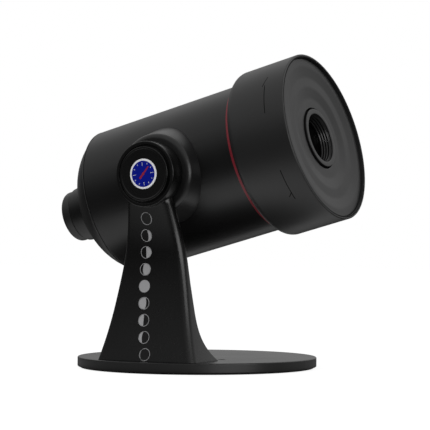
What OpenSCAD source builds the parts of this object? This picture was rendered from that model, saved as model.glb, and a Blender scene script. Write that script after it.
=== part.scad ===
// Home planetarium projector: a tilting barrel on a one-armed stand.
// A lamp, a condenser and a slowly turning star disc sit inside the barrel, and
// the front drum is turned to slide the projection lens in and out.
// Millimetres. Z is up, X points to the front of the barrel, and the stand's
// arm is on the -Y side. The origin is the centre of the base's underside.

/* [Base] */
// Diameter of the round base
base_d = 150; // [130:1:180]
// Height of the base's top above the table
base_h = 6.8; // [6:0.1:9]
// Thickness of the rubber sheet under the base
pad_t = 0.8; // [0.6:0.1:1.2]
// Diameter of the steel weight inside the base
weight_d = 131; // [126:1:134]
// Thickness of the steel weight
weight_t = 3.6; // [2:0.1:4]
// Radius on the base's upper edge
base_edge_r = 0.7; // [0.3:0.1:1]

/* [Stand arm] */
// Height of the pivot above the table
pivot_z = 119.2; // [112:0.1:126]
// Half width of the arm where it stands on the base
arm_foot_w = 33; // [30:0.5:35]
// Half width of the arm just under the hub
arm_neck_w = 14.5; // [12:0.5:16]
// Distance from the base's edge in to the arm's front face at the foot
foot_inset = 9; // [8:0.5:11]
// Gap between the barrel's side and the arm's back face
arm_gap = 3.6; // [2.6:0.1:5.6]
// Thickness of the arm at its waist
arm_waist_t = 6.6; // [6:0.2:9]
// Depth of the flare at the back of the foot
foot_flare = 16.6; // [8:0.2:18]
// Radius on the arm's front edges
arm_edge_r = 3; // [1:0.5:3]
// Radius of the hub at the top of the arm
hub_r = 19.8; // [18:0.1:21]

/* [Barrel] */
// Angle of the barrel above level as it stands
rest_tilt = 15.3; // [0:0.1:40]
// Radius of the barrel
barrel_r = 46.4; // [45:0.1:47]
// Wall of the barrel
barrel_wall = 2.4; // [2:0.1:3]
// Distance from the pivot back to the barrel's rear edge
barrel_back = 56; // [55:0.5:75]
// Radius of the boss just behind its outer face
boss_r = 25; // [23:0.5:27]

/* [Rear cover and knob] */
// Length of the domed rear cover
dome_len = 17.6; // [14:0.2:22]
// Radius of the dome's flat end
dome_end_r = 28; // [24:0.5:32]
// Length of the collar behind the dome
collar_len = 14; // [10:0.5:18]
// Radius of the collar at its rear edge
collar_r = 17.3; // [16.8:0.1:20]
// Radius of the control knob
knob_r = 16.2; // [13:0.1:16.6]
// Length of the control knob
knob_len = 6.8; // [5:0.1:12]

/* [Focus drum] */
// How far the drum stands out from the barrel
drum_step = 5.9; // [5.1:0.1:7.1]
// Distance from the pivot to the drum's front edge
drum_front = 91.2; // [90:0.1:100]
// Wall of the drum, which is also the width of its front rim
drum_wall = 2; // [1.6:0.1:2.4]
// Depth of the face below the rim
face_depth = 2.2; // [1:0.1:3]
// Number of ripples across the face
ripples = 4; // [2:1:6]
// Height of each ripple from its mean
ripple_h = 0.3; // [0.1:0.05:0.5]

/* [Lens] */
// Radius of the lens tube
lens_r = 18.6; // [17.5:0.1:20]
// Radius of the ridged throat at its mouth
throat_r = 14; // [13.4:0.1:15]
// Number of ridges in the throat
ridges = 5; // [3:1:6]
// Distance from one ridge to the next
ridge_pitch = 2.2; // [1.6:0.1:2.4]
// Gap between the lens tube and the face
lens_gap = 0.5; // [0.3:0.1:0.8]

/* [Star disc drive] */
// Teeth on the disc gear
gear_teeth = 70; // [68:1:72]
// Teeth on the pinion
pinion_teeth = 15; // [14:1:18]
// Play between the teeth at the pitch circle
gear_play = 0.24; // [0.15:0.01:0.35]
// Radius of the bearing that carries the disc gear
journal_r = 24; // [20:0.5:25]
// Radius of the clear window in the disc gear
window_r = 20; // [16:0.5:21]

/* [Clearances] */
// Radial clearance of a turning shaft or ring
run_gap = 0.05; // [0.02:0.01:0.1]
// Gap between pieces that move past each other
move_gap = 0.4; // [0.3:0.1:0.6]
// Gap round a screw or a post
screw_gap = 0.1; // [0.05:0.05:0.2]

/* [Hidden] */
$fn = 96;

// Base
base_r = base_d / 2;
weight_r = weight_d / 2;
base_mark = [29.5, -22.8]; // place of the small blind hole in the base's top
base_mark_r = 2.5;
foot_screw_r = 2;
foot_screw_head_r = 4;
foot_screw_top = 20;     // height of the screws' tips in the arm
foot_screw_x = [-18, 0, 18];

// Arm, as distances outwards from the barrel's mid plane and heights above the table
arm_back = barrel_r + arm_gap;
arm_waist_front = arm_back + arm_waist_t;
arm_foot_front = base_r - foot_inset;
spread_z = 40;           // below it the foot spreads sideways and backwards
spread_w = 2;
sweep_z = 68;            // below it the front face sweeps forwards
neck_run = 31;           // length over which the arm turns forwards to the hub
neck_step = 6.8;

// Hub stack, as distances outwards from the barrel's mid plane
hub_back = arm_back + 6.1;
hub_front = hub_back + 10.9;
hub_web = 4;
cap_seat = hub_front - 0.9;
cap_t = 2.3;
cap_skirt = 2.2;         // depth of the skirt that snaps into the hub
cap_r = hub_r - 3.4;
hub_well_r = cap_r - 1.8;
badge_r = cap_r / 2 + 0.2;
badge_t = 0.4;
thrust_t = 0.5;
boss_face = hub_back - thrust_t;
shaft_r = 6;
shaft_end_r = 5;
bush_r = 8;
washer_t = 1;
friction_r = 12.4;
spring_t = 1.4;
nut_t = 3.2;
nut_r = 8;
well_floor = hub_back + hub_web;
shaft_step = well_floor + washer_t + 0.4;
nut_face = well_floor + washer_t + spring_t;

// Barrel, as distances forwards from the pivot along its axis
bore_r = barrel_r - barrel_wall;
ring_s = 49.3;           // back of the red ring
ring_w = 1.4;
ring_proud = 0.5;
drum_r = barrel_r + drum_step;
drum_back = ring_s + ring_w + 0.5;
barrel_front = 70;
rib_r = bore_r - 1.5;
rib_w = 3;
disc_rib_s = 25.4;
front_rib_s = 35;
pad_r = 21.5;            // pad inside the shell under the pivot boss
flange_seat = bore_r - 3.5; // inner face of the pad that carries the shaft's flange
flange_r = 12;
flange_t = 3;
boss_root = bore_r - 14; // well inside the barrel, which cuts it off
boss_screw_at = 17;
boss_screw_r = 1.4;
screw_boss_r = 3.4;
screw_boss_at = bore_r - 2.4;
screw_angles = [90, 210, 330];

// Rear
dome_s = -barrel_back - dome_len;
collar_s = dome_s - collar_len;
knob_s = collar_s - move_gap;
knob_end = knob_s - knob_len;
cover_wall = 2.2;
spigot_len = 6;
spindle_r = 3;

// Front
retainer_t = 2.5;
face_s = drum_front - face_depth;
face_t = 2.2;
drum_bore = drum_r - drum_wall;
lens_front = face_s - 2;
lens_back = 44.5;
lens_ear_s = lens_back + 4;
lens_ear_t = 3;
face_hub_r = lens_r + lens_gap + 3.4;
thread_r = lens_r + 2;
nut_wall = 2.2;
rod_r = 1.5;
rod_at = thread_r + move_gap + nut_wall + rod_r + 0.8;
lens_ear_r = rod_at + rod_r + 2;
ridge_step = 0.5;

// Chassis
post_at = bore_r - 6;
post_r = 2.5;
post_angles = [20, 130, 230];
board_s = -50;
board_t = 1.6;
plate_t = 3;
sink_r = 30;
sink_s = -18;
sink_base_t = 4;
sink_len = 26;
sink_ear_r = 5;
led_board_r = 13;
led_board_t = 1.6;
condenser_s = 4;         // flat back of the condenser lens
condenser_r = 17.1;
holder_r = condenser_r + 2.9;
jack_s = -38;
jack_r = 4.7;
jack_back = bore_r - 10;

// Star disc drive
motor_r = 8;
motor_len = 18;
motor_shaft_r = 1.5;
gear_centres = bore_r - motor_r - 1.95;
gear_slack = 0.05;       // how much wider the centres stand than the pitch circles
gear_module = 2 * (gear_centres - gear_slack) / (gear_teeth + pinion_teeth);
gear_r = gear_module * gear_teeth / 2;
gear_s = disc_rib_s + 0.4;
gear_w = 4.4;
rim_r = journal_r + 2.6; // plain rim in front of the teeth
rim_w = 1.6;
disc_r = journal_r - 1.4;
disc_t = 0.8;
disc_s = gear_s + gear_w + rim_w;
motor_angle = 180;       // straight up in the barrel's own frame

// Points on an arc about c, from angle a0 to a1.
function arc(c, r, a0, a1, n = 6) =
    [for (i = [0:n]) let (a = a0 + (a1 - a0) * i / n) [c[0] + r * cos(a), c[1] + r * sin(a)]];

// A rise from 0 to 1 between a and b with level ends.
function ease(x, a, b) = let (t = min(1, max(0, (x - a) / (b - a)))) t * t * (3 - 2 * t);

// The barrel's own frame: Z forwards along the axis, X down, Y away from the arm.
module along_barrel() {
    translate([0, 0, pivot_z]) rotate([0, 90 - rest_tilt, 0]) children();
}

// The pivot's frame: Z outwards from the barrel's mid plane towards the arm.
module along_pivot() {
    translate([0, 0, pivot_z]) rotate([90, 0, 0]) children();
}

module revolve(points) {
    rotate_extrude() polygon(points);
}

module tube(r_out, r_in, s0, s1) {
    difference() {
        translate([0, 0, s0]) cylinder(r = r_out, h = s1 - s0);
        translate([0, 0, s0 - 1]) cylinder(r = r_in, h = s1 - s0 + 2);
    }
}

module rod(r, s0, s1) {
    translate([0, 0, s0]) cylinder(r = r, h = s1 - s0);
}

// ---------------------------------------------------------------- stand
module arm_screw_places() {
    middle = (arm_front(foot_screw_top) + arm_rear(foot_screw_top)) / 2;
    for (x = foot_screw_x) translate([x, -middle, 0]) children();
}

module base_plate() {
    color([0.09, 0.09, 0.1]) difference() {
        revolve(concat([[0, pad_t], [base_r - 0.4, pad_t], [base_r, pad_t + 0.4]],
            arc([base_r - base_edge_r, base_h - base_edge_r], base_edge_r, 0, 90), [[0, base_h]]));
        translate([0, 0, pad_t - 1]) cylinder(r = weight_r + 0.3, h = weight_t + 1);
        translate([base_mark[0], base_mark[1], base_h - 1.2]) cylinder(r = base_mark_r, h = 3, $fn = 32);
        arm_screw_holes();
    }
}

module arm_screw_holes() {
    arm_screw_places() {
        cylinder(r = foot_screw_r + screw_gap, h = base_h + 1, $fn = 32);
        cylinder(r = foot_screw_head_r + screw_gap, h = pad_t + 2, $fn = 32);
    }
}

module base_weight() {
    color([0.55, 0.56, 0.58]) difference() {
        rod(weight_r, pad_t, pad_t + weight_t);
        arm_screw_holes();
    }
}

module base_pad() {
    color([0.05, 0.05, 0.05]) rod(base_r - 2, 0, pad_t);
}

module arm_screws() {
    color([0.6, 0.6, 0.62]) arm_screw_places() {
        translate([0, 0, pad_t]) cylinder(r = foot_screw_head_r, h = 2, $fn = 32);
        translate([0, 0, pad_t]) cylinder(r = foot_screw_r, h = foot_screw_top - pad_t, $fn = 32);
    }
}

// Half width, front distance and back distance of the arm at height z.
neck_z = pivot_z - hub_r + 3;
taper = (arm_foot_w - spread_w - arm_neck_w) / (neck_z - base_h);
function below(z, top) = max(0, top - z) / (top - base_h);
function arm_w(z) = arm_neck_w + taper * (neck_z - z) + spread_w * pow(below(z, spread_z), 2);
function arm_front(z) = arm_waist_front
    + (arm_foot_front - arm_waist_front) * pow(below(z, sweep_z), 1.45)
    + neck_step * pow(min(1, max(0, z - neck_z + neck_run) / neck_run), 1.5);
function arm_rear(z) = arm_back - foot_flare * pow(below(z, spread_z), 3.8)
    + (hub_back - arm_back) * ease(z, neck_z - neck_run, neck_z - 4);

// The outline of the arm at height z, its corners rounded.
function arm_section(z) = let (w = arm_w(z), f = arm_front(z), b = arm_rear(z),
        rf = arm_edge_r, rb = min(1.6, (f - b) / 2 - rf / 2 - 0.2))
    [for (p = concat(arc([-w + rf, -f + rf], rf, 180, 270, 5), arc([w - rf, -f + rf], rf, 270, 360, 5),
        arc([w - rb, -b - rb], rb, 0, 90, 3), arc([-w + rb, -b - rb], rb, 90, 180, 3))) [p[0], p[1], z]];

// A solid skinned over a stack of outlines with equal point counts.
module skin(sections) {
    n = len(sections[0]);
    last = len(sections) - 1;
    polyhedron(points = [for (s = sections) each s],
        faces = concat([[for (j = [0:n - 1]) j]], [[for (j = [n - 1:-1:0]) last * n + j]],
            [for (i = [0:last - 1], j = [0:n - 1]) let (k = (j + 1) % n, a = i * n, b = a + n)
                each [[a + j, b + j, b + k], [a + j, b + k, a + k]]]));
}

module stand_arm() {
    top_z = pivot_z - 8;
    steps = 30;
    color([0.08, 0.08, 0.085]) difference() {
        union() {
            skin([for (i = [0:steps]) arm_section(base_h + (top_z - base_h) * pow(i / steps, 1.25))]);
            along_pivot() revolve(concat([[0, hub_back]], [[hub_r, hub_back]],
                arc([hub_r - 0.6, hub_front - 0.6], 0.6, 0, 90, 4), [[0, hub_front]]));
        }
        along_pivot() {
            rod(bush_r, hub_back - 1, hub_front);
            rod(hub_well_r, well_floor, hub_front + 1);
            rod(cap_r + 1.2, cap_seat, hub_front + 1);
        }
        arm_screw_places() cylinder(r = foot_screw_r, h = foot_screw_top + 4, $fn = 32);
    }
}

module arm_bush() {
    color([0.85, 0.82, 0.74]) along_pivot() tube(bush_r, shaft_r + run_gap, hub_back, well_floor);
}

module thrust_washer() {
    color([0.85, 0.82, 0.74]) along_pivot() tube(hub_r - 3, shaft_r + move_gap, boss_face, hub_back);
}

module friction_washer() {
    color([0.78, 0.62, 0.3]) along_pivot()
        tube(friction_r, shaft_r + move_gap, well_floor, well_floor + washer_t);
}

module hub_cap() {
    color([0.07, 0.07, 0.075]) along_pivot() difference() {
        revolve(concat([[0, cap_seat]], [[cap_r, cap_seat]],
            arc([cap_r - 0.5, cap_seat + cap_t - 0.5], 0.5, 0, 90, 4), [[0, cap_seat + cap_t]]));
        rod(badge_r + 0.1, cap_seat + cap_t - badge_t / 2, cap_seat + cap_t + 1);
    }
    color([0.07, 0.07, 0.075]) along_pivot()
        tube(hub_well_r - 0.05, hub_well_r - 1.7, cap_seat - cap_skirt, cap_seat);
}

module hub_badge() {
    color([0.9, 0.9, 0.92]) along_pivot()
        rod(badge_r, cap_seat + cap_t - badge_t / 2, cap_seat + cap_t + badge_t / 2);
}

// ---------------------------------------------------------------- barrel
module boss_screw_places() {
    for (a = [45, 135, 225, 315]) rotate([0, 0, a]) translate([boss_screw_at, 0, 0]) children();
}

module shell_tube() {
    revolve(concat([[bore_r, -barrel_back]],
        arc([barrel_r - 1.2, -barrel_back + 1.2], 1.2, -90, 0),
        [[barrel_r, ring_s], [barrel_r - 1, ring_s], [barrel_r - 1, ring_s + ring_w],
         [barrel_r, ring_s + ring_w], [barrel_r, barrel_front], [bore_r, barrel_front],
         [bore_r, front_rib_s + rib_w], [rib_r, front_rib_s + rib_w], [rib_r, front_rib_s],
         [bore_r, front_rib_s], [bore_r, disc_rib_s + rib_w], [rib_r, disc_rib_s + rib_w],
         [rib_r, disc_rib_s], [bore_r, disc_rib_s]]));
}

module barrel_shell() {
    color([0.1, 0.1, 0.105]) difference() {
        union() {
            along_barrel() shell_tube();
            intersection() {
                along_barrel() rod(barrel_r - 0.6, -40, 40);
                along_pivot() rod(pad_r, flange_seat, barrel_r);
            }
            along_barrel() intersection() {
                rod(barrel_r - 0.6, barrel_front - 12, barrel_front);
                for (a = screw_angles) rotate([0, 0, a]) translate([screw_boss_at, 0, barrel_front - 12])
                    cylinder(r = screw_boss_r, h = 12, $fn = 32);
            }
        }
        along_pivot() {
            rod(shaft_r + screw_gap, flange_seat - 1, barrel_r + 2);
            boss_screw_places() cylinder(r = boss_screw_r + 2 * screw_gap, h = barrel_r + 14, $fn = 24);
        }
        along_barrel() {
            for (a = screw_angles) rotate([0, 0, a]) translate([screw_boss_at, 0, barrel_front - 10])
                cylinder(r = 1.3, h = 12, $fn = 24);
            translate([0, 0, jack_s]) rotate([-90, 0, 0]) cylinder(r = jack_r + 0.1, h = 60, $fn = 32);
        }
    }
}

module pivot_boss() {
    color([0.09, 0.09, 0.095]) difference() {
        along_pivot() revolve(concat(
            [[0, boss_root], [boss_r + 6, boss_root], [boss_r + 0.3, boss_face - 3.6]],
            arc([boss_r - 3.2, boss_face - 3.4], 3.4, 0, 90, 8), [[0, boss_face]]));
        along_barrel() rod(barrel_r + 0.02, -60, 60);
        along_pivot() {
            rod(shaft_r + screw_gap, boss_root, boss_face + 1);
            boss_screw_places() cylinder(r = boss_screw_r + screw_gap, h = boss_face - 2.4, $fn = 24);
        }
    }
}

module boss_screws() {
    color([0.6, 0.6, 0.62]) along_pivot() boss_screw_places() {
        translate([0, 0, flange_seat - 1.8]) cylinder(r = 2.8, h = 1.8, $fn = 24);
        translate([0, 0, flange_seat - 1])
            cylinder(r = boss_screw_r, h = boss_face - 3 - flange_seat, $fn = 24);
    }
}

module pivot_shaft() {
    color([0.62, 0.63, 0.65]) along_pivot() union() {
        rod(flange_r, flange_seat - flange_t, flange_seat);
        rod(shaft_r, flange_seat - 1, shaft_step);
        rod(shaft_end_r, shaft_step - 1, nut_face + nut_t);
    }
}

module spring_washer() {
    hole_r = shaft_end_r + 0.4;
    rim = friction_r - 0.8;
    back = nut_face - spring_t + 0.02;
    color([0.5, 0.5, 0.52]) along_pivot()
        revolve([[hole_r, nut_face - 0.6], [hole_r, nut_face], [rim, back + 0.6], [rim, back]]);
}

module pivot_nut() {
    color([0.6, 0.6, 0.62]) along_pivot() difference() {
        translate([0, 0, nut_face]) cylinder(r = nut_r, h = nut_t, $fn = 6);
        rod(shaft_end_r, nut_face - 1, nut_face + nut_t + 1);
    }
}

module rear_cover() {
    end_r = dome_end_r;
    start_r = barrel_r - 1.6;
    color([0.1, 0.1, 0.105]) along_barrel() difference() {
        revolve(concat([[bore_r - 0.1, -barrel_back + spigot_len], [bore_r - 2, -barrel_back + spigot_len],
            [bore_r - 2, -barrel_back - 1]],
            [[end_r - 2, dome_s + cover_wall], [0, dome_s + cover_wall], [0, dome_s]],
            [[end_r - 2.6, dome_s]], arc([end_r - 2, dome_s + 2.5], 2.5, -80, -50, 3),
            dome_points(start_r, end_r), [[start_r, -barrel_back], [bore_r - 0.1, -barrel_back]]));
        rod(collar_r - 4, dome_s - 1, dome_s + cover_wall + 1);
    }
}

// The outer curve of the dome, bowed outwards between its end and its start.
function dome_points(start_r, end_r) = let (bow = 1.12, a = [end_r, dome_s + 1.2],
        b = [start_r, -barrel_back - 1.6])
    [for (i = [1:8]) let (t = i / 8, k = bow * 4 * t * (1 - t))
        [a[0] + (b[0] - a[0]) * t + k, a[1] + (b[1] - a[1]) * t - k]];

module knob_collar() {
    root_r = collar_r + 1.7;
    hole_r = spindle_r + 1.4;
    color([0.09, 0.09, 0.095]) along_barrel() revolve(concat(
        [[hole_r, collar_s], [collar_r - 0.8, collar_s]],
        arc([collar_r - 0.8, collar_s + 0.8], 0.8, -90, 0, 4),
        [[root_r, dome_s - 2], [root_r + 1.4, dome_s]],
        [[collar_r - 3, dome_s], [collar_r - 3, collar_s + 2.5], [hole_r, collar_s + 2.5]]));
}

module accent_ring() {
    color([0.55, 0.08, 0.12]) along_barrel()
        tube(barrel_r + ring_proud, barrel_r - 1, ring_s, ring_s + ring_w);
}

module drum_retainer() {
    color([0.12, 0.12, 0.125]) along_barrel() difference() {
        tube(drum_bore - 1.7, rib_r - 5.5, barrel_front, barrel_front + retainer_t);
        for (a = screw_angles) rotate([0, 0, a]) translate([screw_boss_at, 0, barrel_front - 1])
            cylinder(r = 1.3 + screw_gap, h = 9, $fn = 24);
    }
}

module retainer_screws() {
    color([0.6, 0.6, 0.62]) along_barrel() for (a = screw_angles)
        rotate([0, 0, a]) translate([screw_boss_at, 0, 0]) {
            rod(2.3, barrel_front + retainer_t, barrel_front + retainer_t + 1.6);
            rod(1.25, barrel_front - 8, barrel_front + retainer_t + 0.2);
        }
}

// ---------------------------------------------------------------- chassis
module post_places() {
    for (a = post_angles) rotate([0, 0, a]) translate([post_at, 0, 0]) children();
}

module chassis_posts() {
    color([0.7, 0.68, 0.5]) along_barrel() post_places() difference() {
        rod(post_r, board_s + board_t, disc_rib_s - plate_t);
        translate([0, 0, board_s]) cylinder(r = 1.2, h = 9, $fn = 24);
    }
}

module control_board() {
    color([0.05, 0.3, 0.15]) along_barrel() difference() {
        rod(post_at + 4, board_s, board_s + board_t);
        post_places() translate([0, 0, board_s - 1]) cylinder(r = 1.3, h = 4, $fn = 24);
    }
}

module board_screws() {
    color([0.6, 0.6, 0.62]) along_barrel() post_places() {
        rod(2.3, board_s - 1.5, board_s);
        rod(1.15, board_s - 1, board_s + 7);
    }
}

module rotary_switch() {
    color([0.25, 0.27, 0.3]) along_barrel() difference() {
        union() {
            rod(8, board_s - 8.5, board_s);
            rod(4.6, board_s - 15, board_s - 8);
        }
        rod(spindle_r + 0.3, board_s - 16, board_s - 6);
    }
}

module power_jack() {
    color([0.05, 0.05, 0.05]) along_barrel() translate([0, 0, jack_s]) rotate([-90, 0, 0]) difference() {
        union() {
            rod(jack_r, jack_back, barrel_r - 0.4);
            rod(jack_r + 1.6, jack_back, jack_back + 7);
        }
        rod(jack_r - 1.9, jack_back + 2, barrel_r + 1);
    }
}

module jack_pin() {
    color([0.75, 0.75, 0.77]) along_barrel() translate([0, 0, jack_s]) rotate([-90, 0, 0])
        rod(1, jack_back + 2, barrel_r - 3);
}

module heat_sink() {
    fin_pitch = sink_r / 5;
    color([0.72, 0.73, 0.75]) along_barrel() difference() {
        union() {
            rod(sink_r, sink_s - sink_base_t, sink_s);
            intersection() {
                rod(sink_r, sink_s - sink_len, sink_s);
                for (i = [-4:4]) translate([i * fin_pitch - 1, -sink_r, sink_s - sink_len])
                    cube([2, 2 * sink_r, sink_len - 1]);
            }
            for (a = post_angles) rotate([0, 0, a]) translate([0, 0, sink_s - sink_base_t]) {
                translate([sink_r - 6, -sink_ear_r, 0])
                    cube([post_at - sink_r + 6, 2 * sink_ear_r, sink_base_t]);
                translate([post_at, 0, 0]) cylinder(r = sink_ear_r, h = sink_base_t, $fn = 32);
            }
        }
        post_places() translate([0, 0, sink_s - 30]) cylinder(r = post_r + 0.05, h = 40, $fn = 32);
    }
}

module led_board() {
    color([0.9, 0.9, 0.88]) along_barrel() rod(led_board_r, sink_s, sink_s + led_board_t);
}

module led_emitter() {
    color([0.95, 0.85, 0.4]) along_barrel() translate([0, 0, sink_s + led_board_t]) intersection() {
        sphere(r = 5);
        cylinder(r = 6, h = 6);
    }
}

module condenser_holder() {
    color([0.15, 0.15, 0.16]) along_barrel() union() {
        tube(holder_r + 4, led_board_r + 1, sink_s, sink_s + 2);
        tube(holder_r, condenser_r + 0.1, sink_s + 1.9, disc_rib_s - plate_t);
        tube(condenser_r + 0.2, condenser_r - 1.6, sink_s + 1.9, condenser_s);
    }
}

module condenser_lens() {
    bulge = 9;
    sphere_r = (condenser_r * condenser_r + bulge * bulge) / (2 * bulge);
    color([0.8, 0.9, 0.95, 0.5]) along_barrel() intersection() {
        rod(condenser_r, condenser_s, condenser_s + 13);
        translate([0, 0, condenser_s + 2 + bulge - sphere_r]) sphere(r = sphere_r);
    }
}

module disc_frame() {
    color([0.15, 0.15, 0.16]) along_barrel() difference() {
        union() {
            rod(bore_r - 0.1, disc_rib_s - plate_t, disc_rib_s);
            rod(journal_r, disc_rib_s - 1, disc_rib_s + gear_w);
        }
        rod(journal_r - 2.4, disc_rib_s - plate_t - 1, disc_rib_s + gear_w + 1);
        to_motor() cylinder(r = motor_shaft_r + 1 + screw_gap, h = disc_rib_s + gear_w, $fn = 32);
    }
}

module to_motor() {
    rotate([0, 0, motor_angle]) translate([gear_centres, 0, 0]) children();
}

module at_motor() {
    along_barrel() to_motor() children();
}

module gear_motor() {
    color([0.7, 0.7, 0.72]) at_motor() difference() {
        union() {
            rod(motor_r, disc_rib_s - plate_t - motor_len, disc_rib_s - plate_t);
            rod(motor_shaft_r + 1, disc_rib_s - plate_t - 1, disc_rib_s - 0.2);
        }
        rod(motor_shaft_r + run_gap, disc_rib_s - plate_t - 9, disc_rib_s + 1);
    }
}

module front_frame() {
    color([0.15, 0.15, 0.16]) along_barrel() difference() {
        rod(bore_r - 0.1, front_rib_s + rib_w, front_rib_s + rib_w + plate_t);
        rod(17, front_rib_s, lens_back);
        rod_places() cylinder(r = rod_r, h = lens_back, $fn = 32);
    }
}

module rod_places() {
    for (a = [90, 270]) rotate([0, 0, a]) translate([rod_at, 0, 0]) children();
}

module guide_rods() {
    color([0.7, 0.7, 0.72]) along_barrel() rod_places() rod(rod_r, front_rib_s + rib_w, lens_ear_s + 12);
}

// ---------------------------------------------------------------- focus drum
module focus_drum() {
    shoulder = 4.6;
    lip_r = barrel_r + 0.5;
    guide_r = barrel_r + 0.35;
    ledge = face_s - face_t;
    color([0.11, 0.11, 0.115]) along_barrel() revolve(concat(
        [[lip_r, drum_back], [drum_r - shoulder, drum_back]],
        arc([drum_r - shoulder, drum_back + shoulder], shoulder, -90, 0, 10),
        arc([drum_r - 0.5, drum_front - 0.5], 0.5, 0, 90, 3),
        // the ledge that the face plate sits on
        [[drum_bore, drum_front], [drum_bore, ledge], [drum_bore - 2.6, ledge - 0.2],
         [drum_bore - 2.6, ledge - 1.6], [drum_bore, ledge - 4]],
        // the bearing that turns on the barrel
        [[drum_bore, barrel_front - 0.3], [guide_r, barrel_front - 0.3], [guide_r, barrel_front - 3],
         [drum_bore, barrel_front - 5]],
        [[drum_bore, drum_back + shoulder + 1], [barrel_r + 2.4, drum_back + 2.4],
         [lip_r, drum_back + 2.4]]));
}

module face_plate() {
    steps = 8 * ripples;
    r0 = lens_r + lens_gap;
    wave0 = r0 + 4;
    wave1 = drum_bore - 2.5;
    color([0.16, 0.16, 0.165]) along_barrel() revolve(concat(
        [[r0, face_s - face_t - 1], [face_hub_r, face_s - face_t - 1], [face_hub_r, face_s - face_t],
         [drum_bore - 0.05, face_s - face_t], [drum_bore - 0.05, face_s]],
        [for (i = [0:steps]) let (t = i / steps, r = wave1 + (wave0 - wave1) * t)
            [r, face_s - ripple_h * (1 - cos(360 * ripples * t))]],
        [[r0 + 0.4, face_s], [r0, face_s - 0.4]]));
}

module helicoid_nut() {
    color([0.2, 0.2, 0.21]) along_barrel() union() {
        tube(thread_r + move_gap + nut_wall, thread_r + move_gap, lens_ear_s + 9.5, face_s - face_t - 1);
        tube(thread_r + move_gap + 8, face_hub_r + 0.05, face_s - face_t - 2, face_s - face_t);
    }
}

// ---------------------------------------------------------------- lens
throat_end = lens_front - 1 - ridges * ridge_pitch;
glass_r = throat_r - ridges * ridge_step - 0.2;
rear_glass_r = 13;
rear_glass_s = lens_back + 2.5;

// The throat as a run of steps, each with a sloping face, from the glass out to the mouth.
function throat_points() = [for (i = [ridges:-1:1]) let (r = throat_r - i * ridge_step,
        s = lens_front - 1 - i * ridge_pitch) each [[r, s], [r, s + ridge_pitch * 0.55],
        [r + ridge_step + 0.55, s + ridge_pitch * 0.8], [r + ridge_step + 0.55, s + ridge_pitch]]];

module lens_tube() {
    color([0.13, 0.13, 0.135]) along_barrel() difference() {
        revolve(concat(
            [[lens_r, lens_front - 0.5], [lens_r - 0.5, lens_front], [throat_r + 2.2, lens_front],
             [throat_r + 1.6, lens_front - 0.6], [throat_r, lens_front - 1]],
            [for (i = [len(throat_points()) - 1:-1:0]) throat_points()[i]],
            // the bore, with a seat for each glass
            [[glass_r + 0.2, throat_end - 6], [glass_r - 1, throat_end - 6],
             [glass_r + 0.6, throat_end - 14], [rear_glass_r - 0.8, rear_glass_s + 8],
             [rear_glass_r - 0.8, rear_glass_s + 4.6], [rear_glass_r + 0.2, rear_glass_s + 4.6],
             [rear_glass_r + 0.2, lens_back]],
            // the outside, with the guided ear and the thread
            [[lens_r, lens_back], [lens_r, lens_ear_s], [lens_ear_r, lens_ear_s],
             [lens_ear_r, lens_ear_s + lens_ear_t], [thread_r, lens_ear_s + lens_ear_t],
             [thread_r, lens_front - 7], [lens_r, lens_front - 5.5]]));
        rod_places() cylinder(r = rod_r + run_gap, h = lens_front, $fn = 32);
    }
}

module front_lens() {
    lens_dome(glass_r, throat_end - 6, 4.4, 2.2);
}

module rear_lens() {
    lens_dome(rear_glass_r, rear_glass_s, 4.5, 2.4);
}

// A plano-convex lens: flat towards the back, bulging forwards.
module lens_dome(r, s, edge, bulge) {
    big = (r * r + bulge * bulge) / (2 * bulge);
    color([0.7, 0.85, 0.95, 0.5]) along_barrel() intersection() {
        rod(r, s, s + edge);
        translate([0, 0, s + edge - big]) sphere(r = big);
    }
}

module lens_retainer() {
    color([0.05, 0.05, 0.05]) along_barrel()
        tube(glass_r + 0.1, glass_r - 1, throat_end - 2.2, throat_end - 0.1);
}

module rear_lens_ring() {
    color([0.05, 0.05, 0.05]) along_barrel()
        tube(rear_glass_r + 0.1, rear_glass_r - 1.6, lens_back, rear_glass_s - 0.1);
}

// ---------------------------------------------------------------- star disc
// Angle from a tooth's middle to its flank at radius r, on an involute of 20 degrees.
function involute(a) = tan(a) * 180 / PI - a;
function flank(r, pitch, teeth, play) = let (base = pitch * cos(20), rr = max(r, base + 0.001))
    90 / teeth - play / pitch * 90 / PI + involute(20) - involute(acos(base / rr));

module spur(teeth, width, play) {
    pitch = gear_module * teeth / 2;
    root = pitch - 1.25 * gear_module;
    tip = pitch + 0.95 * gear_module;
    radii = [for (i = [0:4]) root + (tip - root) * i / 4];
    half = [for (r = radii) flank(r, pitch, teeth, play)];
    linear_extrude(width) polygon([for (k = [0:teeth - 1]) let (mid = 360 * k / teeth) each concat(
        [for (i = [0:4]) radii[i] * [cos(mid - half[i]), sin(mid - half[i])]],
        [for (i = [4:-1:0]) radii[i] * [cos(mid + half[i]), sin(mid + half[i])]])]);
}

module disc_gear() {
    color([0.9, 0.9, 0.86]) along_barrel() difference() {
        union() {
            translate([0, 0, gear_s]) rotate([0, 0, motor_angle]) spur(gear_teeth, gear_w, gear_play / 2);
            rod(rim_r, gear_s + gear_w - 0.1, disc_s);
        }
        rod(journal_r + run_gap, gear_s - 1, gear_s + gear_w);
        rod(window_r, gear_s, gear_s + 10);
    }
}

module star_disc() {
    color([0.1, 0.12, 0.25]) along_barrel() rod(disc_r, disc_s, disc_s + disc_t);
}

module disc_clip() {
    color([0.2, 0.2, 0.22]) along_barrel() union() {
        tube(rim_r - 0.2, disc_r + 0.2, disc_s, disc_s + disc_t + 0.4);
        tube(rim_r - 0.2, disc_r - 1.6, disc_s + disc_t, disc_s + disc_t + 0.8);
    }
}

module motor_shaft() {
    color([0.7, 0.7, 0.72]) at_motor() rod(motor_shaft_r, disc_rib_s - plate_t - 8, gear_s + gear_w + 1);
}

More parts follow.
